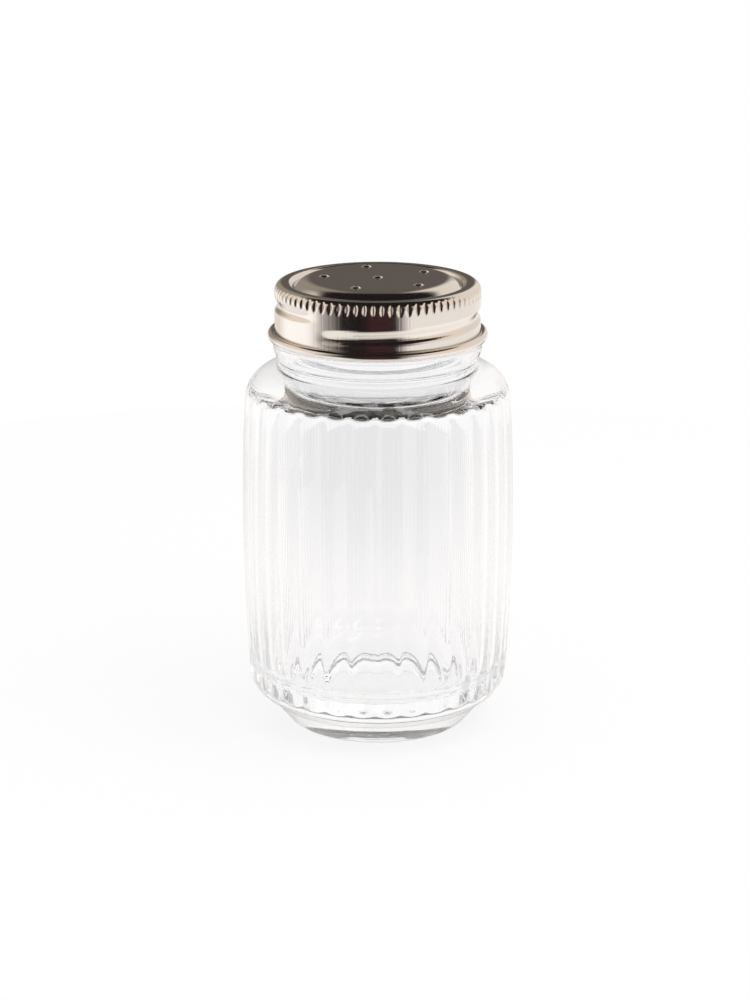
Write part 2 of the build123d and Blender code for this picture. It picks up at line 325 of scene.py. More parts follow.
class Nodes:
    """Adds nodes to one tree."""

    def __init__(self, tree):
        self.tree = tree

    def node(self, kind, settings=None, inputs=None, output=0):
        """Make a node, with its settings first and then the values or links of its sockets."""
        made = self.tree.nodes.new(kind)
        for name, value in (settings or {}).items():
            if name == "stops":
                set_stops(made.color_ramp, value)
            else:
                setattr(made, name, value)
        for key, value in (inputs or {}).items():
            if isinstance(value, Term):
                self.tree.links.new(value.socket, made.inputs[key])
            else:
                made.inputs[key].default_value = value
        return Term(self, made, made.outputs[output] if made.outputs else None)

    def math(self, operation, *values):
        """A Math node on numbers."""
        return self.node("ShaderNodeMath", {"operation": operation}, dict(enumerate(values)))

    def sine(self, angle):
        return self.math("SINE", angle)

    def cosine(self, angle):
        return self.math("COSINE", angle)

    def root(self, value):
        return self.math("SQRT", self.math("MAXIMUM", value, 0.0))

    def clamp(self, value):
        """The value held between 0 and 1."""
        return self.math("MINIMUM", self.math("MAXIMUM", value, 0.0), 1.0)

    def smooth(self, value):
        """A smooth rise from 0 to 1 as the value goes from 0 to 1."""
        share = self.clamp(value)
        return share * share * (3.0 - 2.0 * share)

    def rise(self, value, start, width):
        """A smooth rise from 0 to 1 that starts at a value and takes a width."""
        return self.smooth((value - start) / width)

    def bell(self, value):
        """A smooth hump that is 1 at 0 and 0 from 1 on, either way."""
        inside = self.math("MAXIMUM", 1.0 - value * value, 0.0)
        return inside * inside


def set_stops(ramp, stops):
    """Give a colour ramp its stops, as pairs of place and colour."""
    while len(ramp.elements) < len(stops):
        ramp.elements.new(1.0)
    for element, (place, tint) in zip(ramp.elements, stops):
        element.position = place
        element.color = (*tint, 1.0)


# ---- Sections drawn as points, with x as the radius and z as the height ----
def on_circle(center, radius, angle):
    """Point of a circle at an angle above the outward direction."""
    return Vector((center.x + radius * math.cos(angle), 0, center.z + radius * math.sin(angle)))


def at(radius, height):
    """Point of a section."""
    return Vector((radius, 0, height))


def arc(center, radius, start, end, spacing, step=CORNER_STEP):
    """Points along an arc, close enough for its curve and for a spacing in millimetres."""
    by_turn = abs(end - start) / step
    by_length = abs(end - start) * radius / (spacing * MM)
    steps = max(2, math.ceil(max(by_turn, by_length)))
    return [on_circle(center, radius, start + (end - start) * i / steps) for i in range(steps + 1)]


def angle_of(vector):
    """Angle of a direction in a section, above the outward direction."""
    return math.atan2(vector.z, vector.x)


def meeting_point(first, first_angle, second, second_angle):
    """Where lines through two points meet, each at its own angle."""
    a = Vector((math.cos(first_angle), 0, math.sin(first_angle)))
    b = Vector((math.cos(second_angle), 0, math.sin(second_angle)))
    gap = second - first
    along = (gap.x * b.z - gap.z * b.x) / (a.x * b.z - a.z * b.x)
    return first + a * along


def rounded(corners, radii, spacing, step=CORNER_STEP):
    """Line through corner points with every inner corner replaced by an arc."""
    line = [corners[0]]
    for before, corner, after, radius in zip(corners, corners[1:], corners[2:], radii):
        back = (before - corner).normalized()
        ahead = (after - corner).normalized()
        half = back.angle(ahead) / 2
        reach = radius / math.tan(half)
        center = corner + (back + ahead).normalized() * (radius / math.sin(half))
        start = (corner + back * reach - center).normalized()
        end = (corner + ahead * reach - center).normalized()
        steps = max(2, math.ceil(start.angle(end) / step))
        line += [center + start.slerp(end, i / steps) * radius for i in range(steps + 1)]
    line.append(corners[-1])
    return evenly(line, spacing)


def moved_under(line, inset):
    """Corner points of a line that runs inwards, moved to its under side by an inset."""
    runs = [(end - start).normalized() for start, end in zip(line, line[1:])]
    sides = [at(-run.z, run.x) * inset for run in runs]
    starts = [start + side for start, side in zip(line, sides)]
    turns = [angle_of(run) for run in runs]
    corners = [
        meeting_point(starts[i], turns[i], starts[i + 1], turns[i + 1])
        for i in range(len(runs) - 1)
    ]
    return [starts[0], *corners, line[-1] + sides[-1]]


def evenly(line, spacing):
    """The same line with points added where two are further apart than some millimetres."""
    filled = [line[0]]
    for start, end in zip(line, line[1:]):
        steps = max(1, math.ceil((end - start).length / (spacing * MM)))
        filled += [start.lerp(end, i / steps) for i in range(1, steps + 1)]
    return filled


def without_doubles(points):
    """Indices of the points that aren't in the same place as the one before."""
    kept = [0]
    for i in range(1, len(points)):
        if (points[i] - points[kept[-1]]).length > DOUBLE_GAP:
            kept.append(i)
    return kept


def section_mesh(name, stretches):
    """Line mesh of a section. Each stretch is its points, its shaped value and its lined value."""
    points = [point for stretch, _, _ in stretches for point in stretch]
    kept = without_doubles(points)
    mesh = bpy.data.meshes.new(name)
    edges = [(i, i + 1) for i in range(len(kept) - 1)]
    mesh.from_pydata([points[i] for i in kept], edges, [])
    for column, label in enumerate(("shaped", "lined"), start=1):
        values = [stretch[column] for stretch in stretches for _ in stretch[0]]
        attribute = mesh.attributes.new(label, "FLOAT", "POINT")
        attribute.data.foreach_set("value", [values[i] for i in kept])
    return mesh


# ---- Geometry trees ----
def sizes_of(group, *names):
    """Some sizes of a group, each under the name of its socket."""
    return {name.replace("_", " ").title(): getattr(group, name) for name in names}


def socket_kind(value):
    """Type of the socket that holds a value."""
    if isinstance(value, bpy.types.ID):
        return "NodeSocket" + type(value).__name__
    return "NodeSocketInt" if isinstance(value, int) else "NodeSocketFloat"


def new_tree(name, values):
    """Geometry tree with a named input for each value, and its nodes and the inputs' terms."""
    tree = bpy.data.node_groups.new(name, "GeometryNodeTree")
    for direction in ("INPUT", "OUTPUT"):
        tree.interface.new_socket("Geometry", in_out=direction, socket_type="NodeSocketGeometry")
    for label, value in values.items():
        tree.interface.new_socket(label, in_out="INPUT", socket_type=socket_kind(value))
    nodes = Nodes(tree)
    given = nodes.node("NodeGroupInput")
    return nodes, {label: given.out(label) for label in ("Geometry", *values)}


def around(nodes, radius, angle, height=0.0):
    """Point at a radius, an angle and a height about the axis."""
    inputs = {"X": radius * nodes.cosine(angle), "Y": radius * nodes.sine(angle), "Z": height}
    return nodes.node("ShaderNodeCombineXYZ", None, inputs)


def joined(nodes, parts):
    """Several geometries in one, in their order."""
    together = nodes.node("GeometryNodeJoinGeometry")
    for part in parts:
        nodes.tree.links.new(part.socket, together.node.inputs[0])
    return together


def even_angle(given, repeats, start=0.0):
    """Function that gives each of evenly spread points its angle."""
    return lambda index: index * (WHOLE / given[repeats]) + start


def crowded_angle(nodes, given, repeats, crowding, start):
    """Function that gives each column its angle, crowded round every flute or notch."""
    even = even_angle(given, "Columns")

    def angle_at(column):
        angle = even(column)
        crowded = nodes.sine(angle * given[repeats]) * (crowding / given[repeats])
        return angle - crowded + given[start]

    return angle_at


def turned_grid(nodes, given, angle_at, shape):
    """Grid of the section turned about the axis. angle_at and shape say where a point goes."""
    section = given["Geometry"]
    kind = {"component": "MESH"}
    rows = nodes.node("GeometryNodeAttributeDomainSize", kind, {"Geometry": section})
    counts = {"Vertices X": given["Columns"] + 1.0, "Vertices Y": rows}
    grid = nodes.node("GeometryNodeMeshGrid", None, counts)
    index = nodes.node("GeometryNodeInputIndex")
    column = nodes.math("FLOOR", (index + 0.5) / rows)
    row = index - column * rows
    place = nodes.node("GeometryNodeInputPosition")
    point = sampled(nodes, section, place, row, "FLOAT_VECTOR")
    shaped = sampled(nodes, section, named(nodes, "shaped"), row, "FLOAT")
    lined = sampled(nodes, section, named(nodes, "lined"), row, "FLOAT")
    parts = nodes.node("ShaderNodeSeparateXYZ", None, {0: point})
    angle = angle_at(column)
    radius = shape(parts.out("X"), parts.out("Z"), angle, shaped, lined)
    moved = around(nodes, radius, angle, parts.out("Z"))
    turned = nodes.node("GeometryNodeSetPosition", None, {"Geometry": grid, "Position": moved})
    return kept_value(nodes, turned, "lined", lined)


def named(nodes, label):
    """The value of a named attribute."""
    kind = {"data_type": "FLOAT"}
    return nodes.node("GeometryNodeInputNamedAttribute", kind, {"Name": label})


def kept_value(nodes, geometry, label, value):
    """Geometry that carries a value on its points under a name."""
    kind = {"data_type": "FLOAT", "domain": "POINT"}
    inputs = {"Geometry": geometry, "Name": label, "Value": value}
    return nodes.node("GeometryNodeStoreNamedAttribute", kind, inputs)


def sampled(nodes, geometry, value, index, data_type):
    """The value of a field on another geometry's point."""
    kind = {"data_type": data_type, "domain": "POINT"}
    inputs = {"Geometry": geometry, "Value": value, "Index": index}
    return nodes.node("GeometryNodeSampleIndex", kind, inputs)


def finished(nodes, geometry, material):
    """Close seams and poles, smooth the shading, and end the tree."""
    for kind, inputs in (
        ("RealizeInstances", {}),
        ("MergeByDistance", {"Distance": SEAM_GAP}),
        ("SetShadeSmooth", {}),
        ("SetMaterial", {"Material": material}),
    ):
        geometry = nodes.node("GeometryNode" + kind, None, {"Geometry": geometry, **inputs})
    nodes.node("NodeGroupOutput", None, {0: geometry})


def placed(name, data):
    """New object in the scene."""
    made = bpy.data.objects.new(name, data)
    bpy.context.scene.collection.objects.link(made)
    return made


def grown(name, stretches, make_tree, values):
    """Plain mesh object that a geometry tree makes from a section."""
    line = placed(name + "_section", section_mesh(name + "_section", stretches))
    modifier = line.modifiers.new("Turned", "NODES")
    modifier.node_group = make_tree(values)
    for item in modifier.node_group.interface.items_tree:
        if item.in_out == "INPUT" and item.name in values:
            modifier[item.identifier] = values[item.name]
    graph = bpy.context.evaluated_depsgraph_get()
    mesh = bpy.data.meshes.new_from_object(line.evaluated_get(graph), depsgraph=graph)
    mesh.name = name
    bpy.data.objects.remove(line)
    return placed(name, mesh)


def thread_hump(nodes, height, angle, given):
    """Hump of 1 on the thread's line and 0 off it, with a width below the line and one above."""
    from_front = angle - FRONT
    below, above = given["Thread Below"], given["Thread Above"]
    rise = height - given["Thread Height"]
    middle = rise - (above - below) * 0.5
    lap = nodes.math("ROUND", middle / given["Pitch"] - from_front / WHOLE)
    along = from_front + lap * WHOLE
    off = rise - given["Pitch"] * along / WHOLE
    start = given["Thread Start"]
    nearest_end = nodes.math("MINIMUM", along - start, start + given["Thread Turn"] - along)
    side = nodes.math("GREATER_THAN", off, 0.0)
    share = off / (below + side * (above - below))
    return nodes.smooth(nearest_end / given["Fade"]) * nodes.bell(share)


# ---- Glass jar ----
def barrel_centre(jar):
    """Centre of the long curve of the side."""
    return at(jar.belly_radius - jar.barrel_curve, jar.belly_height)


def jar_bore(jar):
    """Radius of the jar's bore."""
    return jar.neck_radius - jar.neck_wall


def barrel_angle(jar, height, corner_radius):
    """Angle on the barrel's curve where a corner arc, centred at a height, touches it."""
    return math.asin((height - jar.belly_height) / (jar.barrel_curve - corner_radius))


def shoulder_arc(jar):
    """Centre, radius and first angle of the arc from the barrel to the shoulder's end."""
    bead_height = JAR_HIGH.z - jar.finish_height - jar.bead_thickness
    end = at(jar.neck_radius + jar.shoulder_ledge, bead_height - jar.waist_drop)
    gap = end - barrel_centre(jar)
    outward = on_circle(at(0, 0), 1, jar.shoulder_end)
    curve = jar.barrel_curve
    radius = (gap.length_squared - curve**2) / (2 * (gap.dot(outward) - curve))
    center = end - outward * radius
    return center, radius, barrel_angle(jar, center.z, radius)


def shoulder_end(jar):
    """Point at which the shoulder's arc ends."""
    shoulder, radius, _ = shoulder_arc(jar)
    return on_circle(shoulder, radius, jar.shoulder_end)


def lip_foot(jar):
    """Height one and a half roundings below the lip's top."""
    return JAR_HIGH.z - 1.5 * jar.lip_edge


def jar_outside(jar):
    """Stretches of the outer line of the glass, from under the foot to the neck's bead."""
    hub = barrel_centre(jar)
    shoulder, shoulder_radius, shoulder_start = shoulder_arc(jar)
    heel_start = barrel_angle(jar, jar.heel_height, jar.heel_radius)
    heel = on_circle(hub, jar.barrel_curve - jar.heel_radius, heel_start)
    heel_end = on_circle(heel, jar.heel_radius, -jar.heel_end)
    foot = at(jar.belly_radius - jar.foot_inset, 0)
    cove = meeting_point(foot, jar.foot_slope, heel_end, QUARTER - jar.heel_end)
    bearing = at(foot.x - jar.bearing_width, 0)
    under_radius = (bearing.x**2 + jar.punt**2) / (2 * jar.punt)
    under_turn = math.asin(bearing.x / under_radius)
    under = arc(at(0, jar.punt - under_radius), under_radius, QUARTER, QUARTER - under_turn, 1.6)
    foot_line = rounded([bearing, foot, cove, heel_end], [jar.foot_corner, jar.foot_cove], 1.2)
    heel_line = arc(heel, jar.heel_radius, -jar.heel_end, heel_start, FLUTED_SPACING)
    side_line = arc(hub, jar.barrel_curve, heel_start, shoulder_start, 2.6)
    shoulder_line = arc(shoulder, shoulder_radius, shoulder_start, jar.shoulder_end, FLUTED_SPACING)
    plain = [(under, 0, 0), (foot_line, 0, 0)]
    return [*plain, (heel_line, 1, 0), (side_line, 1, 0), (shoulder_line, 1, 0)]


def jar_neck(jar):
    """Stretches from the shoulder's end over the bead, up the neck and over the lip."""
    neck_base = shoulder_end(jar)
    bead_top = JAR_HIGH.z - jar.finish_height
    bead_out = jar.neck_radius + jar.bead_stand
    bead = at(bead_out - jar.bead_curve, bead_top - jar.bead_thickness)
    bead_start = on_circle(bead, jar.bead_curve, -jar.bead_bottom)
    waist_turns = QUARTER + jar.shoulder_end, QUARTER - jar.bead_bottom
    waist = meeting_point(neck_base, waist_turns[0], bead_start, waist_turns[1])
    bore = jar_bore(jar)
    waist_line = rounded([neck_base, waist, bead_start], [jar.waist_fillet], 0.6)
    bead_line = arc(bead, jar.bead_curve, -jar.bead_bottom, 0, 0.6)
    neck_foot = bead_top + jar.bead_edge / 2
    neck_start = neck_foot + 2 * jar.bead_edge
    neck_end = lip_foot(jar)
    ledge = [at(bead_out, bead.z), at(bead_out, bead_top), at(jar.neck_radius, neck_foot)]
    ledge_line = rounded(
        [*ledge, at(jar.neck_radius, neck_start)], [jar.bead_edge, jar.bead_edge], 0.6
    )
    neck_ends = [at(jar.neck_radius, neck_start), at(jar.neck_radius, neck_end)]
    neck_line = evenly(neck_ends, THREADED_SPACING)
    lip = [at(jar.neck_radius, JAR_HIGH.z), at(bore, JAR_HIGH.z), at(bore, neck_end)]
    lip_line = rounded([at(jar.neck_radius, neck_end), *lip], [jar.lip_edge, jar.lip_edge], 1.2)
    plain = [(waist_line, 0, 0), (bead_line, 0, 0), (ledge_line, 0, 0)]
    return [*plain, (neck_line, 2, 0), (lip_line, 0, 0)]


def upper_crossing(first, first_radius, second, second_radius):
    """The upper crossing of two circles in a section, the first centred further in."""
    gap = second - first
    along = (first_radius**2 - second_radius**2 + gap.length_squared) / (2 * gap.length)
    across = math.sqrt(first_radius**2 - along**2)
    return first + (gap * along + at(-gap.z, gap.x) * across) / gap.length


def jar_inside(jar):
    """Stretches of the smooth inside, from the bore down to the middle of the floor."""
    hub = barrel_centre(jar)
    inner_curve = jar.barrel_curve - jar.wall
    bore = jar_bore(jar)
    bore_top = at(bore, lip_foot(jar))
    end = at(bore + jar.ceiling_ledge, shoulder_end(jar).z - jar.ceiling_drop)
    bore_corner = meeting_point(end, QUARTER + jar.ceiling_end, bore_top, QUARTER)
    ceiling = on_circle(end, -jar.ceiling_curve, jar.ceiling_end)
    corner = upper_crossing(
        hub, inner_curve - jar.ceiling_corner, ceiling, jar.ceiling_curve - jar.ceiling_corner
    )
    low = angle_of(corner - hub)
    high = angle_of(corner - ceiling)
    floor_inset = jar.wall + jar.floor_corner
    floor_turn = barrel_angle(jar, jar.floor_height + jar.floor_corner, floor_inset)
    floor = on_circle(hub, jar.barrel_curve - floor_inset, floor_turn)
    bore_line = rounded([bore_top, bore_corner, end], [jar.bore_fillet], 5)
    ceiling_line = arc(ceiling, jar.ceiling_curve, jar.ceiling_end, high, 1)
    corner_line = arc(corner, jar.ceiling_corner, high, low, 1)
    side_line = arc(hub, inner_curve, low, floor_turn, 4)
    turn_line = arc(floor, jar.floor_corner, floor_turn, -QUARTER, 1.2)
    floor_line = evenly([at(floor.x, jar.floor_height), at(0, jar.floor_height)], 6)
    lines = (bore_line, ceiling_line, corner_line, side_line, turn_line, floor_line)
    return [(line, 0, 0) for line in lines]


def flute_radius(jar):
    """Radius across one flute, from its depth, the number of flutes and the ridge's width."""
    half_land = jar.flute_land / 2 / jar.belly_radius
    edge = math.pi / jar.flutes - half_land
    half_width = jar.belly_radius * math.sin(edge)
    depth_to_edge = jar.belly_radius * math.cos(edge) - (jar.belly_radius - jar.flute_depth)
    return (half_width**2 + depth_to_edge**2) / (2 * depth_to_edge)


def jar_tree(values):
    """Geometry tree that turns the jar's section, scoops the flutes and raises the thread."""
    nodes, given = new_tree("Fluted jar", values)
    flute_step = WHOLE / given["Flutes"]

    def shape(radius, height, angle, shaped, _lined):
        across = (angle - given["Ridge Angle"]) % flute_step - flute_step / 2
        rise = height - given["Belly Height"]
        curve = given["Flute Curve"]
        bowed = given["Belly Radius"] - curve + nodes.root(curve * curve - rise * rise)
        reach = bowed - given["Flute Depth"] + given["Flute Radius"]
        offset = reach * nodes.sine(across)
        scooped = given["Flute Radius"] * given["Flute Radius"] - offset * offset
        flute = reach * nodes.cosine(across) - nodes.root(scooped)
        fluted = nodes.math("SMOOTH_MIN", radius, flute, given["Edge Melt"])
        hump = thread_hump(nodes, height, angle, given)
        on_side = nodes.math("COMPARE", shaped, 1.0, 0.1)
        on_neck = nodes.math("COMPARE", shaped, 2.0, 0.1)
        return radius + on_side * (fluted - radius) + on_neck * hump * given["Thread Depth"]

    angle_at = crowded_angle(nodes, given, "Flutes", FLUTE_CROWDING, "Ridge Angle")
    finished(nodes, turned_grid(nodes, given, angle_at, shape), given["Material"])
    return nodes.tree


class SHAKER_OT_jar(bpy.types.Operator):
    """Make the pressed glass jar with its flutes, neck thread and hollow"""

    bl_idname = "shaker.jar"
    bl_label = "Glass jar"

    def execute(self, context):
        jar = context.scene.shaker_jar
        thread = context.scene.shaker_thread
        stretches = [*jar_outside(jar), *jar_neck(jar), *jar_inside(jar)]
        values = {
            **sizes_of(jar, "belly_radius", "belly_height"),
            **sizes_of(jar, "flute_depth", "flute_curve", "edge_melt"),
            **sizes_of(thread, "pitch", "fade"),
            "Columns": jar.flutes * jar.flute_columns,
            "Flutes": float(jar.flutes),
            "Flute Radius": flute_radius(jar),
            "Ridge Angle": FRONT + jar.flute_turn,
            "Thread Height": JAR_HIGH.z - thread.drop + thread.lift,
            "Thread Depth": thread.neck_stand,
            "Thread Below": thread.neck_width,
            "Thread Above": thread.neck_width,
            "Thread Start": thread.neck_start,
            "Thread Turn": thread.neck_turn,
            "Material": glass_material(context.scene.shaker_finish),
        }
        piece = grown("pressed_glass", stretches, jar_tree, values)
        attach(piece, "jar")
        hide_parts("glass_jar")
        return {"FINISHED"}


# ---- Metal cap ----
def cap_levels(cap):
    """Radius of the skirt's outer face, and heights of the panel and the rim's centre."""
    skirt = CAP_HIGH.x - 2 * cap.curl_radius + cap.sheet
    panel = CAP_HIGH.z - cap.burr_height
    rim = panel - cap.panel_rise + cap.rim_rise - cap.rim_radius
    return skirt, panel, rim


def cap_top(cap, inset, spacing, step):
    """Points from the rim's crest over the valley and the bevel to the flat panel."""
    skirt, panel, rim = cap_levels(cap)
    valley = cap.valley_inset + jar_bore(bpy.context.scene.shaker_jar)
    valley_height = panel - cap.panel_rise
    crest = rim + cap.rim_radius
    line = [
        at(skirt - cap.rim_radius, crest),
        at(valley + cap.rim_wall, crest),
        at(valley, valley_height),
        at(valley - cap.bevel_run, panel),
        at(cap.panel_join, panel),
    ]
    radii = [cap.crest_fillet - inset, cap.valley_fillet + inset, cap.panel_fillet - inset]
    return rounded(moved_under(line, inset), radii, spacing, step)


def cap_section(cap):
    """Stretches of the sheet, from under the panel down inside, round the curl and up outside."""
    skirt, _, rim = cap_levels(cap)
    inner = skirt - cap.sheet
    curl = at(inner + cap.curl_radius, CAP_LOW.z + cap.curl_radius)
    rim_center = at(skirt - cap.rim_radius, rim)
    inner_rim = cap.rim_radius - cap.sheet
    under = cap_top(cap, cap.sheet, 1.2, HIDDEN_STEP)[::-1]
    under_rim = arc(rim_center, inner_rim, QUARTER, 0, 0.4, HIDDEN_STEP)
    inside = evenly([at(inner, rim), at(inner, curl.z)], 0.7)
    curl_outside = arc(curl, cap.curl_radius, -HALF, cap.curl_end, 1, HIDDEN_STEP)
    curl_inside = arc(curl, cap.curl_radius - cap.sheet, cap.curl_end, -HALF, 1, HIDDEN_STEP)
    outside = evenly([at(skirt, curl.z), at(skirt, rim)], GROOVED_SPACING)
    over_rim = arc(rim_center, cap.rim_radius, 0, QUARTER, 0.3)
    return [
        (under, 0, 1),
        (under_rim, 1, 1),
        (inside, 1, 1),
        (curl_outside, 0, 0),
        (curl_inside, 0, 0),
        (outside, 1, 0),
        (over_rim, 1, 0),
        (cap_top(cap, 0, 0.6, CORNER_STEP), 0, 0),
    ]


def burr_section(cap):
    """Stretches of the raised sheet round a hole, from the flat over the lip and back under."""
    _, panel, _ = cap_levels(cap)
    top = panel + cap.burr_height
    under = panel - cap.sheet
    lip = cap.hole_radius + cap.burr_lip
    mouth = at(cap.hole_radius, top - cap.sheet)
    over = [at(cap.collar_radius, panel), at(cap.burr_radius, panel), at(lip, top)]
    hole = [at(cap.hole_radius, top), mouth]
    back = [mouth, at(cap.burr_radius - cap.sheet / 2, under), at(cap.collar_radius, under)]
    soft = cap.burr_lip / 2
    outer = rounded([*over, *hole], [cap.burr_fillet, soft, soft], 0.3, BURR_STEP)
    return [(outer, 0, 0), (rounded(back, [cap.burr_fillet / 2], 0.3, BURR_STEP), 0, 1)]


def ring_of_points(nodes, points, radius, angle_at):
    """Closed ring of points about the axis."""
    ring = nodes.node("GeometryNodeMeshCircle", None, {"Vertices": points})
    place = around(nodes, radius, angle_at(nodes.node("GeometryNodeInputIndex")))
    return nodes.node("GeometryNodeSetPosition", None, {"Geometry": ring, "Position": place})


def hole_points(nodes, given):
    """One point in the middle and a ring of points around it."""
    angle_at = even_angle(given, "Holes", given["Hole Turn"])
    ring = ring_of_points(nodes, given["Holes"], given["Hole Circle"], angle_at)
    outer = nodes.node("GeometryNodeMeshToPoints", None, {"Mesh": ring})
    return joined(nodes, (outer, nodes.node("GeometryNodePoints", None, {"Count": 1})))


def copied(nodes, places, copy):
    """Copy of a geometry at every place."""
    inputs = {"Points": places, "Instance": copy}
    return nodes.node("GeometryNodeInstanceOnPoints", None, inputs)


def pierced_panel(nodes, given, angle_at, places):
    """Both faces of the flat panel, with a round opening at every hole."""
    edge = ring_of_points(nodes, given["Columns"], given["Panel Join"], angle_at)
    columns = given["Collar Columns"]
    even = even_angle(given, "Collar Columns")
    opening = ring_of_points(nodes, columns, given["Collar Radius"], even)
    rings = joined(nodes, (edge, copied(nodes, places, opening)))
    real = nodes.node("GeometryNodeRealizeInstances", None, {"Geometry": rings})
    curves = nodes.node("GeometryNodeMeshToCurve", None, {"Mesh": real})
    face = nodes.node("GeometryNodeFillCurve", None, {"Curve": curves})
    upper = lifted(nodes, face, given["Panel Height"])
    turned = nodes.node("GeometryNodeFlipFaces", None, {"Mesh": face})
    under = kept_value(nodes, turned, "lined", 1.0)
    return [upper, lifted(nodes, under, given["Panel Height"] - given["Sheet"])]


def lifted(nodes, geometry, height):
    """Geometry moved up by a height."""
    offset = nodes.node("ShaderNodeCombineXYZ", None, {"Z": height})
    return nodes.node("GeometryNodeSetPosition", None, {"Geometry": geometry, "Offset": offset})


def cap_tree(values):
    """Geometry tree that turns the sheet's section, rolls the thread, knurls and pierces it."""
    nodes, given = new_tree("Pierced cap", values)
    knurl_step = WHOLE / given["Knurls"]

    def shape(radius, height, angle, shaped, lined):
        half_step = knurl_step / 2
        across = (angle - given["Knurl Angle"] + half_step) % knurl_step - half_step
        rise = height - given["Knurl Bottom"]
        foot = nodes.smooth(rise / given["Knurl Foot"])
        depth = (given["Knurl Depth"] + rise * given["Knurl Lean"]) * foot
        offset = radius * across
        bow = offset * offset / (2.0 * given["Knurl Radius"])
        skin = radius + lined * given["Sheet"] - given["Skirt Radius"]
        gap = skin + depth - bow
        notch = nodes.math("SMOOTH_MAX", gap, 0.0, KNURL_MELT)
        hump = thread_hump(nodes, height, angle, given)
        return radius - shaped * (hump * given["Thread Depth"] + notch)

    angle_at = crowded_angle(nodes, given, "Knurls", KNURL_CROWDING, "Knurl Angle")
    sheet = turned_grid(nodes, given, angle_at, shape)
    places = hole_points(nodes, given)
    burr = nodes.node("GeometryNodeObjectInfo", None, {"Object": given["Burr"]}, "Geometry")
    panel = pierced_panel(nodes, given, angle_at, places)
    cap = joined(nodes, (sheet, copied(nodes, places, burr), *panel))
    finished(nodes, cap, given["Material"])
    return nodes.tree


def burr_tree(values):
    """Geometry tree that turns the raised sheet round one hole."""
    nodes, given = new_tree("Burr", values)
    even = even_angle(given, "Columns")
    turned = turned_grid(nodes, given, even, lambda radius, *_: radius)
    finished(nodes, turned, given["Material"])
    return nodes.tree


class SHAKER_OT_cap(bpy.types.Operator):
    """Form the sheet metal cap with its knurl, rolled thread, curl and pouring holes"""

    bl_idname = "shaker.cap"
    bl_label = "Metal cap"

    def execute(self, context):
        cap = context.scene.shaker_cap
        thread = context.scene.shaker_thread
        skirt, panel, rim = cap_levels(cap)
        plating = nickel_material(context.scene.shaker_finish)
        burr_values = {"Columns": COLLAR_COLUMNS, "Material": plating}
        burr = grown("burr", burr_section(cap), burr_tree, burr_values)
        values = {
            **sizes_of(cap, "knurl_depth", "knurl_foot", "knurl_radius", "panel_join", "sheet"),
            **sizes_of(cap, "holes", "hole_circle", "hole_turn", "collar_radius"),
            **sizes_of(thread, "pitch", "fade"),
            "Columns": cap.knurls * cap.knurl_columns,
            "Knurls": float(cap.knurls),
            "Skirt Radius": skirt,
            "Knurl Lean": math.tan(cap.knurl_lean),
            "Knurl Bottom": rim + cap.rim_radius - cap.knurl_height,
            "Knurl Angle": FRONT + math.pi / cap.knurls,
            "Thread Height": JAR_HIGH.z - thread.drop,
            "Thread Depth": thread.cap_depth,
            "Thread Below": thread.cap_below,
            "Thread Above": thread.cap_above,
            "Thread Start": thread.cap_start,
            "Thread Turn": thread.cap_turn,
            "Panel Height": panel,
            "Collar Columns": COLLAR_COLUMNS,
            "Burr": burr,
            "Material": plating,
        }
        piece = grown("formed_cap", cap_section(cap), cap_tree, values)
        bpy.data.objects.remove(burr)
        piece.data.set_sharp_from_angle(angle=SHARP_EDGE)
        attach(piece, "cap")
        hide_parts("screw_cap")
        return {"FINISHED"}


# ---- Sealing ring ----
class SHAKER_OT_seal(bpy.types.Operator):
    """Give the sealing ring its rubber"""

    bl_idname = "shaker.seal"
    bl_label = "Sealing ring"

    def execute(self, context):
        rubber = seal_material(context.scene.shaker_finish)
        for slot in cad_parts["sealing_ring"].material_slots:
            slot.material = rubber
        return {"FINISHED"}


# ---- Finishes ----
def emptied(owner):
    """Material or world with an empty node tree, its nodes, and their Texture Coordinate."""
    owner.use_nodes = True
    owner.node_tree.nodes.clear()
    nodes = Nodes(owner.node_tree)
    return owner, nodes, nodes.node("ShaderNodeTexCoord")


def new_material(name):
    """Material with an empty node tree, its nodes, and Object coordinates."""
    material, nodes, places = emptied(bpy.data.materials.new(name))
    return material, nodes, places.out("Object")


def mixed(nodes, share, first, second):
    """Colour mixed from two by a share."""
    inputs = {"Factor": share, 6: first, 7: second}
    return nodes.node("ShaderNodeMix", {"data_type": "RGBA"}, inputs, 2)


def rgb(tint):
    """Colour with its alpha."""
    return (*tint, 1.0)


def surface(nodes, inputs):
    """End a material in one Principled shader."""
    shader = nodes.node("ShaderNodeBsdfPrincipled", None, inputs)
    nodes.node("ShaderNodeOutputMaterial", None, {"Surface": shader})


def noise(nodes, vector, scale, detail=2.0):
    """Smooth noise from 0 to 1."""
    inputs = {"Vector": vector, "Scale": scale, "Detail": detail}
    return nodes.node("ShaderNodeTexNoise", None, inputs)


def stretched(nodes, vector, scale):
    """Coordinates scaled differently along each axis."""
    return nodes.node("ShaderNodeMapping", None, {"Vector": vector, "Scale": scale})


def bumped(nodes, height, distance, strength=1.0):
    """Normals of a surface raised by a height."""
    inputs = {"Height": height, "Strength": strength, "Distance": distance}
    return nodes.node("ShaderNodeBump", None, inputs)


def glass_material(finish):
    """Clear pressed glass with the soft waves of the mould."""
    material, nodes, place = new_material("pressed_glass")
    waves = noise(nodes, stretched(nodes, place, (60.0, 60.0, 30.0)), scale=1.0)
    skin = noise(nodes, place, scale=900.0)
    surface(
        nodes,
        {
            "Base Color": rgb(finish.glass),
            "Roughness": 0.0,
            "IOR": finish.glass_index,
            "Transmission Weight": 1.0,
            "Normal": bumped(nodes, waves + skin * 0.03, distance=0.12 * MM),
        },
    )
    return material


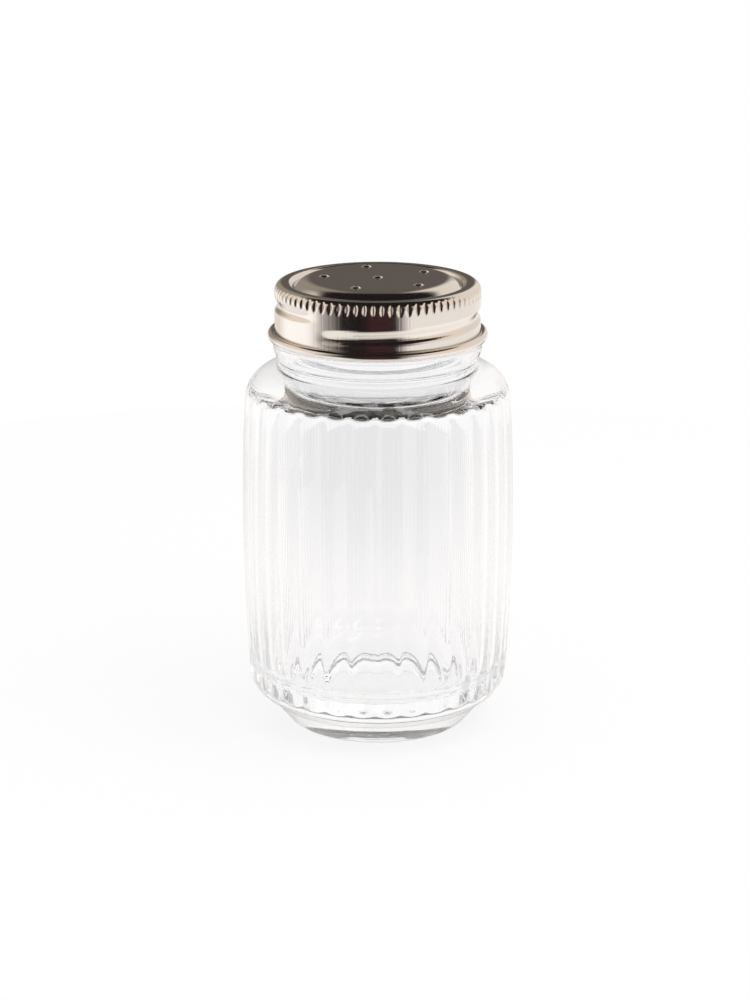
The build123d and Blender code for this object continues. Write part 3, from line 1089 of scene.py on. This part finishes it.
def nickel_material(finish):
    """Bright plating with drawing streaks, ripples and fine wear, and a dull lacquer inside."""
    material, nodes, place = new_material("bright_nickel")
    streaks = noise(nodes, stretched(nodes, place, (2600.0, 2600.0, 60.0)), scale=1.0, detail=3.0)
    ripples = noise(nodes, place, scale=160.0)
    specks = noise(nodes, place, scale=2400.0, detail=4.0)
    lined = nodes.node("ShaderNodeAttribute", {"attribute_name": "lined"}, None, "Fac")
    plated = mixed(nodes, specks * 0.3, rgb(finish.nickel), rgb(WORN_NICKEL))
    height = ripples + streaks * 0.25 + specks * 0.02
    surface(
        nodes,
        {
            "Base Color": mixed(nodes, lined, plated, rgb(finish.lacquer)),
            "Metallic": 1.0 - lined * 0.6,
            "Roughness": finish.nickel_roughness + streaks * 0.06 + specks * 0.03 + lined * 0.25,
            "Normal": bumped(nodes, height, distance=0.03 * MM),
        },
    )
    return material


def seal_material(finish):
    """Soft pale rubber with a faint mottle."""
    material, nodes, place = new_material("seal_rubber")
    mottle = noise(nodes, place, scale=1200.0, detail=4.0)
    surface(
        nodes,
        {
            "Base Color": mixed(nodes, mottle, rgb(finish.seal), rgb(WORN_SEAL)),
            "Roughness": 0.55 + mottle * 0.2,
            "Normal": bumped(nodes, mottle, distance=0.05 * MM, strength=0.3),
        },
    )
    return material


def seen_directly(nodes):
    """The kinds of a ray, and 1 for a ray of the camera or one through the glass."""
    ray = nodes.node("ShaderNodeLightPath")
    return ray, nodes.clamp(ray.out("Is Camera Ray") + ray.out("Is Transmission Ray"))


def floor_material(finish):
    """Matt pale floor that the camera and the glass see as white. The metal's reflections see it
    with painted light: painted bright near the jar, and painted shade far out in front and behind.
    """
    material, nodes, place = new_material("studio_floor")
    ray, seen = seen_directly(nodes)
    reach = nodes.node("ShaderNodeVectorMath", {"operation": "LENGTH"}, {0: place}, "Value")
    across = nodes.node("ShaderNodeSeparateXYZ", None, {0: place}, "X")
    # Painted reflection on the floor for glossy rays only: bright near the jar, and painted shade
    # far out along the front and the back, none to the sides.
    side = nodes.math("ABSOLUTE", across) / reach
    ahead = 1.0 - nodes.rise(side, start=0.3, width=0.4)
    painted_far_shade = nodes.rise(reach, start=40 * MM, width=170 * MM) * ahead
    shown = mixed(nodes, painted_far_shade, rgb(BRIGHT), rgb(DARK))
    tint = mixed(nodes, ray.out("Is Glossy Ray"), rgb(finish.floor), shown)
    matt = nodes.node("ShaderNodeBsdfDiffuse", None, {"Color": tint})
    white = nodes.node("ShaderNodeEmission", None, {"Color": rgb(PURE_WHITE), "Strength": 1.0})
    both = nodes.node("ShaderNodeMixShader", None, {0: seen * 0.85, 1: matt, 2: white})
    nodes.node("ShaderNodeOutputMaterial", None, {"Surface": both})
    return material


def studio_world():
    """White surround for the camera and the glass, and a studio of lobes for the metal."""
    world, nodes, directions = emptied(bpy.data.worlds.new("studio"))
    parts = nodes.node("ShaderNodeSeparateXYZ", None, {0: directions.out("Generated")})
    azimuth = nodes.math("ARCTAN2", parts.out("X"), 0.0 - parts.out("Y"))
    share = azimuth / (2 * math.pi) + 0.5
    low = nodes.node("ShaderNodeValToRGB", {"stops": LOW_STUDIO}, {"Fac": share})
    high = nodes.node("ShaderNodeValToRGB", {"stops": HIGH_STUDIO}, {"Fac": share})
    level = nodes.rise(parts.out("Z"), start=-0.1, width=0.12)
    overhead = nodes.rise(parts.out("Z"), start=0.62, width=0.14)
    studio = mixed(nodes, overhead, mixed(nodes, level, low, high), rgb(DARK))
    ray, seen = seen_directly(nodes)
    lit = mixed(nodes, ray.out("Is Glossy Ray"), rgb(SOFT_WHITE), studio)
    front = nodes.rise(0.0 - parts.out("Y"), start=0.1, width=0.5)
    upward = nodes.rise(parts.out("Z"), start=0.0, width=0.15)
    slate = front * upward * ray.out("Is Transmission Ray")
    pane = mixed(nodes, slate, rgb(PURE_WHITE), rgb(SLATE))
    tint = mixed(nodes, seen, lit, pane)
    background = nodes.node("ShaderNodeBackground", None, {"Color": tint, "Strength": 1.0})
    nodes.node("ShaderNodeOutputWorld", None, {"Surface": background})
    return world


# ---- Stage ----
def disc(name, radius, height, sides):
    """Flat round face at a height."""
    mesh = bpy.data.meshes.new(name)
    turns = [2 * math.pi * i / sides for i in range(sides)]
    points = [(radius * math.cos(turn), radius * math.sin(turn), height) for turn in turns]
    mesh.from_pydata(points, [], [list(range(sides))])
    return placed(name, mesh)


def add_camera(studio):
    """Camera in front, a little above, looking down at the jar."""
    data = bpy.data.cameras.new("camera")
    data.lens = studio.lens
    data.shift_x = studio.shift_x
    data.shift_y = studio.shift_y
    camera = placed("camera", data)
    camera.location = (0, -studio.distance, studio.height)
    down = math.atan2(studio.height - studio.aim_height, studio.distance)
    camera.rotation_euler = (QUARTER - down, 0, 0)
    bpy.context.scene.camera = camera


def add_lamp(name, place, aim, size, power, tint):
    """Soft square lamp that points at a place."""
    data = bpy.data.lights.new(name, "AREA")
    data.size = size
    data.energy = power
    data.color = tint
    lamp = placed(name, data)
    lamp.location = place
    lamp.rotation_euler = (Vector(aim) - Vector(place)).to_track_quat("-Z", "Y").to_euler()
    lamp.visible_glossy = False


class SHAKER_OT_stage(bpy.types.Operator):
    """Set the floor, the lights, the surround and the camera"""

    bl_idname = "shaker.stage"
    bl_label = "Stage"

    def execute(self, context):
        scene = context.scene
        studio = scene.shaker_studio
        floor = disc("floor", studio.floor_radius, -studio.floor_gap, FLOOR_SIDES)
        floor.data.materials.append(floor_material(scene.shaker_finish))
        floor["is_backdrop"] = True
        scene.world = studio_world()
        add_lamp(
            "soft_top",
            place=(0.25, -0.15, 0.6),
            aim=(0, 0, 0.05),
            size=0.5,
            power=1.5,
            tint=(1.0, 0.98, 0.95),
        )
        add_camera(studio)
        scene.view_settings.view_transform = "Standard"
        for bounces in ("max_bounces", "glossy_bounces", "transmission_bounces"):
            setattr(scene.cycles, bounces, LIGHT_BOUNCES)
        return {"FINISHED"}


# ---- Panel, registration and the run ----
OPERATORS = (SHAKER_OT_jar, SHAKER_OT_cap, SHAKER_OT_seal, SHAKER_OT_stage)


class SHAKER_PT_panel(bpy.types.Panel):
    """Buttons that make each piece and the stage"""

    bl_idname = "SHAKER_PT_panel"
    bl_label = "Shaker"
    bl_space_type = "VIEW_3D"
    bl_region_type = "UI"
    bl_category = "Shaker"

    def draw(self, context):
        for operator in OPERATORS:
            self.layout.operator(operator.bl_idname)


CLASSES = (*SIZE_GROUPS.values(), *OPERATORS, SHAKER_PT_panel)


def register():
    """Register the classes and give the scene its groups of sizes."""
    for made in CLASSES:
        bpy.utils.register_class(made)
    for name, group in SIZE_GROUPS.items():
        setattr(bpy.types.Scene, name, bpy.props.PointerProperty(type=group))


def unregister():
    """Undo register."""
    for name in SIZE_GROUPS:
        delattr(bpy.types.Scene, name)
    for made in reversed(CLASSES):
        bpy.utils.unregister_class(made)


def corners(bounds):
    """Box as plain lists of numbers."""
    return [list(corner) for corner in bounds]


def main():
    """Make every piece and the stage."""
    register()
    bpy.ops.shaker.jar()
    bpy.ops.shaker.cap()
    bpy.ops.shaker.seal()
    bpy.ops.shaker.stage()
    {"cad": corners(CAD_BOUNDS), "visual": corners(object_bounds())}


if __name__ == "__main__":
    main()
